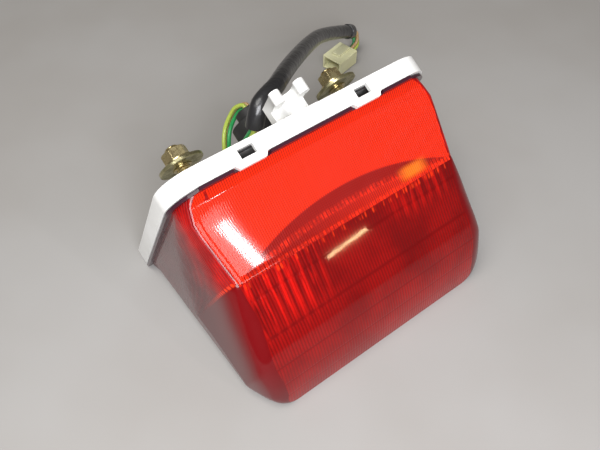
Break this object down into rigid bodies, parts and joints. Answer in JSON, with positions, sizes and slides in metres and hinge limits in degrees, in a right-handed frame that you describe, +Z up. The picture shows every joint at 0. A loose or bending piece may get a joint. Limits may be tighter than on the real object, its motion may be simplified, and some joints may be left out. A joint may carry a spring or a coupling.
{
  "type": "motorcycle tail light",
  "caption": "Wedge-shaped red tail and brake light with a white housing, two stud bolts, a bayonet bulb and a short sleeved harness with a connector.",
  "frame": {"origin": "centre of the lamp's bounding box at its base, measured without the harness; the lamp lies on the flat underside of its lens", "axes": "+Z up; -Y the way the lens points; +X to the lamp's left seen from behind, where the harness leaves; the rim plane leans 26 degrees forward about X"},
  "size_m": [0.1811, 0.1638, 0.0937],
  "materials": {
    "white_plastic": "smooth moulded",
    "red_lens": "clear red, fine ribs",
    "grey_rubber": "soft",
    "zinc_steel": "yellow zinc plated",
    "olive_zinc": "olive zinc plated",
    "plated_shell": "plated sheet",
    "black_rubber": "soft",
    "brown_insulator": "pressed board",
    "contact_brass": "bright",
    "spring_steel": "bright wire",
    "cap_brass": "spun",
    "black_insulator": "glassy",
    "solder": "soldered",
    "clear_glass": "clear",
    "filament_metal": "drawn wire",
    "green_wire": "vinyl insulation",
    "tan_wire": "vinyl insulation",
    "lime_wire": "vinyl insulation",
    "black_vinyl": "soft tube",
    "black_tape": "wound tape",
    "milky_nylon": "milky"
  },
  "bodies": {
    "lamp": {"housing": "white_plastic", "lens": "red_lens", "lens_gasket": "grey_rubber", "stud_bolts": "zinc_steel", "socket_shell": "plated_shell", "socket_ring": "plated_shell", "socket_boot": "black_rubber", "carrier_spring": "spring_steel", "wire_earth_inner": "green_wire", "wire_tail_inner": "tan_wire", "wire_stop_inner": "lime_wire", "harness_sleeve": "black_vinyl", "sleeve_tape": "black_tape", "wire_earth_outer": "green_wire", "wire_tail_outer": "tan_wire", "wire_stop_outer": "lime_wire", "connector_housing": "milky_nylon", "connector_terminals": "contact_brass"},
    "carrier": {"contact_carrier": "brown_insulator", "carrier_contacts": "contact_brass"},
    "bulb": {"bulb_cap": "cap_brass", "bulb_cap_insulator": "black_insulator", "bulb_cap_contacts": "solder", "bulb_glass": "clear_glass", "bulb_stem": "clear_glass", "filament_supports": "filament_metal", "filament_tail": "filament_metal", "filament_stop": "filament_metal"},
    "nut_left": {"nut_left": "zinc_steel"},
    "nut_right": {"nut_right": "zinc_steel"},
    "washer_left": {"washer_left": "olive_zinc"},
    "washer_right": {"washer_right": "olive_zinc"}
  },
  "joints": [
    {"name": "bulb_push", "type": "slide", "parent": "lamp", "child": "carrier", "axis": [0, 0.8988, 0.4384], "range_m": [0, 0.003], "stiffness_N_per_m": 2500, "springref_m": -0.003, "deforming": ["carrier_spring"]},
    {"name": "bulb_twist", "type": "hinge", "parent": "carrier", "child": "bulb", "pos_m": [0, 0.02174, 0.04494], "axis": [0, -0.8988, -0.4384], "range_deg": [0, 20]},
    {"name": "nut_left_turn", "type": "hinge", "parent": "lamp", "child": "nut_left", "pos_m": [-0.04, 0.03763, 0.05936], "axis": [0, 0.8988, 0.4384], "continuous": true},
    {"name": "nut_right_turn", "type": "hinge", "parent": "lamp", "child": "nut_right", "pos_m": [0.04, 0.03763, 0.05936], "axis": [0, 0.8988, 0.4384], "continuous": true},
    {"name": "washer_left_turn", "type": "hinge", "parent": "nut_left", "child": "washer_left", "pos_m": [-0.04, 0.03682, 0.05897], "axis": [0, 0.8988, 0.4384], "continuous": true},
    {"name": "washer_right_turn", "type": "hinge", "parent": "nut_right", "child": "washer_right", "pos_m": [0.04, 0.03682, 0.05897], "axis": [0, 0.8988, 0.4384], "continuous": true}
  ]
}
